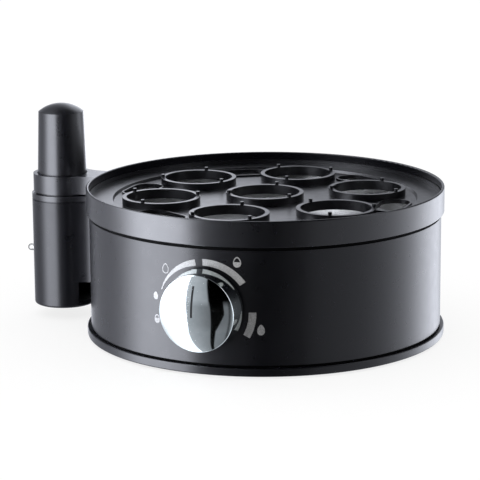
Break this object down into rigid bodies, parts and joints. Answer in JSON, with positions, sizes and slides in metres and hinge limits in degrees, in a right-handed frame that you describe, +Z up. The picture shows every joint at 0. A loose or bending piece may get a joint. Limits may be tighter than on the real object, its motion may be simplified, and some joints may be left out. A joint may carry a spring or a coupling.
{
  "type": "egg boiler",
  "caption": "Round countertop egg boiler: steam bowl under a lift-out egg tray, front rotary control, and a side tower that stores the egg pricker.",
  "frame": {"origin": "on the axis of the round housing, in the plane that the rubber foot ring stands on", "axes": "+Z up along the housing axis, +X away from the side tower, -Y out of the front through the knob"},
  "size_m": [0.2109, 0.1862, 0.106],
  "materials": {
    "housing_black": "satin moulded",
    "tray_black": "satin",
    "foot_rubber": "fine grain",
    "seam_rubber": "matte",
    "seal_silicone": "smooth",
    "bowl_steel": "spun",
    "plain_steel": "zinc plated",
    "spreader_aluminium": "cast",
    "element_tube": "heat tinted",
    "brass": "turned",
    "knob_chrome": "polished",
    "dark_plastic": "moulded",
    "thermostat_ceramic": "fired",
    "fuse_sleeve": "woven sleeve",
    "board_laminate": "solder resist",
    "relay_case": "moulded",
    "block_nylon": "natural nylon",
    "lens_clear": "polished",
    "lamp_red": "diffused",
    "wire_brown": "extruded",
    "wire_blue": "extruded",
    "wire_green": "extruded",
    "wire_white": "extruded"
  },
  "bodies": {
    "base": {"foot_ring": "foot_rubber", "base_plate": "housing_black", "base_screws": "plain_steel", "housing_wall": "housing_black", "rear_panel": "housing_black", "ring_band": "seam_rubber", "base_band": "seam_rubber", "top_ring": "housing_black", "bowl_seal": "seal_silicone", "heating_bowl": "bowl_steel", "bowl_tabs": "plain_steel", "heat_spreader": "spreader_aluminium", "heating_element": "element_tube", "element_pins": "plain_steel", "thermostat": "thermostat_ceramic", "thermostat_strap": "plain_steel", "strap_nuts": "plain_steel", "thermal_fuse": "fuse_sleeve", "earth_stud": "brass", "knob_plate": "dark_plastic", "control_saddle": "dark_plastic", "control_bush": "brass", "control_nut": "plain_steel", "control_body": "dark_plastic", "control_board": "board_laminate", "relay": "relay_case", "board_connector": "block_nylon", "buzzer": "dark_plastic", "cord_gland": "foot_rubber", "terminal_block": "block_nylon", "block_screws": "plain_steel", "terminal_screws": "brass", "tower_tube": "housing_black", "tower_plug": "dark_plastic", "tower_screws": "plain_steel", "tower_collar": "housing_black", "pilot_lens": "lens_clear", "pilot_lamp": "lamp_red", "live_wire": "wire_brown", "heater_wire": "wire_brown", "return_wire": "wire_blue", "neutral_wire": "wire_blue", "earth_wire": "wire_green", "pilot_lead": "wire_white"},
    "knob": {"knob_cap": "knob_chrome", "knob_core": "dark_plastic", "knob_pointer": "dark_plastic", "control_shaft": "plain_steel"},
    "tray": {"egg_tray": "tray_black"},
    "pricker": {"pricker_grip": "housing_black", "pricker_cap": "housing_black", "needle_holder": "dark_plastic", "needle": "plain_steel"}
  },
  "joints": [
    {"name": "knob_turn", "type": "hinge", "parent": "base", "child": "knob", "pos_m": [0, -0.084, 0.031], "axis": [0, -1, 0], "range_deg": [-120, 110]},
    {"name": "tray_lift", "type": "slide", "parent": "base", "child": "tray", "axis": [0, 0, 1], "range_m": [0, 0.06]},
    {"name": "pricker_lift", "type": "slide", "parent": "base", "child": "pricker", "axis": [0, 0, 1], "range_m": [0, 0.06]}
  ]
}
